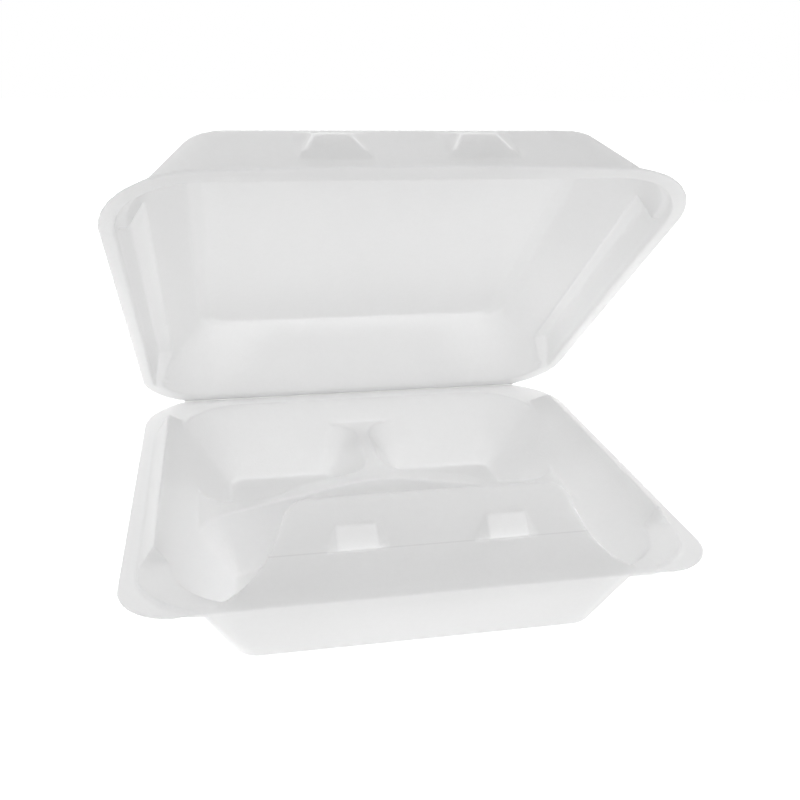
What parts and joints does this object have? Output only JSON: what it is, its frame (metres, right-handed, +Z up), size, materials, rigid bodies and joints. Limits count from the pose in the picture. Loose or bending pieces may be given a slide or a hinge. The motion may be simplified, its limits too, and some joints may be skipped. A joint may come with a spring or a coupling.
{
  "type": "foam clamshell container",
  "caption": "Hinged foam takeaway box: a divided tray with side ridges and a front tongue, and a domed lid whose front pockets catch the tongue's lugs.",
  "frame": {"origin": "centre of the tray's flat bottom, on the surface it stands on", "axes": "+Z up; +X to the right seen from the front; the hinge is at the back, towards +Y, so the tongue faces -Y"},
  "size_m": [0.235, 0.219, 0.1982],
  "materials": {
    "foam": "smooth white polystyrene foam with a soft satin skin"
  },
  "bodies": {
    "tray": {"tray": "foam"},
    "lid": {"lid": "foam"}
  },
  "joints": [
    {"name": "lid_hinge", "type": "hinge", "parent": "tray", "child": "lid", "pos_m": [0, 0.1112, 0.03865], "axis": [-1, 0, 0], "range_deg": [-40.57, 139.4]}
  ]
}
